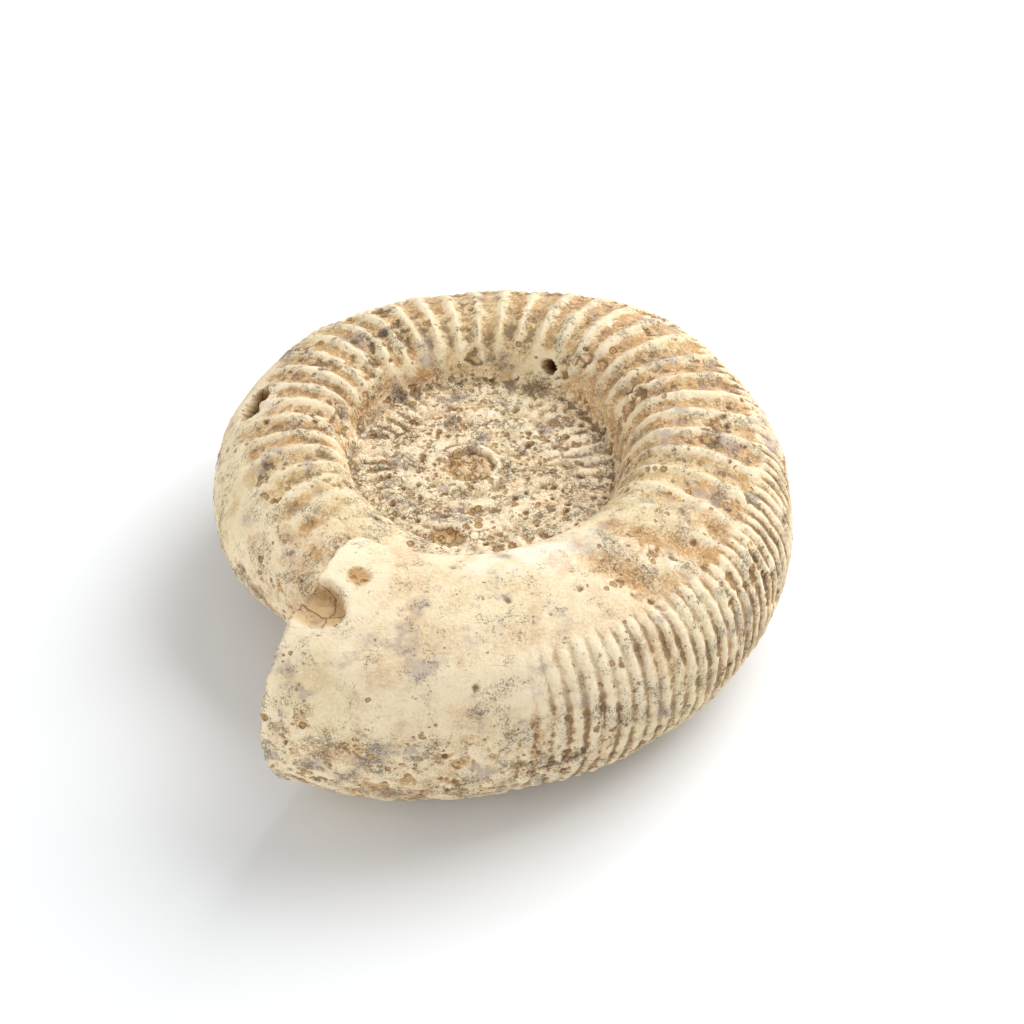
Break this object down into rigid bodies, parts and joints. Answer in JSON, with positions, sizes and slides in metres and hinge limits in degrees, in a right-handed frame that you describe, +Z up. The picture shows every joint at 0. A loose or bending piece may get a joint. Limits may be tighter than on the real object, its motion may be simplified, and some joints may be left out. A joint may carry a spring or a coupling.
{
  "type": "ammonite fossil",
  "caption": "Fossil ammonite shell: a flat coiled stone with a ribbed outer whorl, a stone-filled navel and a broken mouth end, lying on its flank.",
  "frame": {"origin": "centre of the bounding box in plan, on the surface that the fossil rests on", "axes": "+Z up, close to the coiling axis; -Y towards the wide last whorl at the front, with the broken mouth end on the -X side; +X to the right as seen from the front"},
  "size_m": [0.1112, 0.1222, 0.0451],
  "materials": {
    "fossil_limestone": "cream to tan weathered limestone, matt, dusty, with fine grey specks and ochre pits"
  },
  "bodies": {
    "root": {"ammonite": "fossil_limestone"}
  },
  "joints": []
}
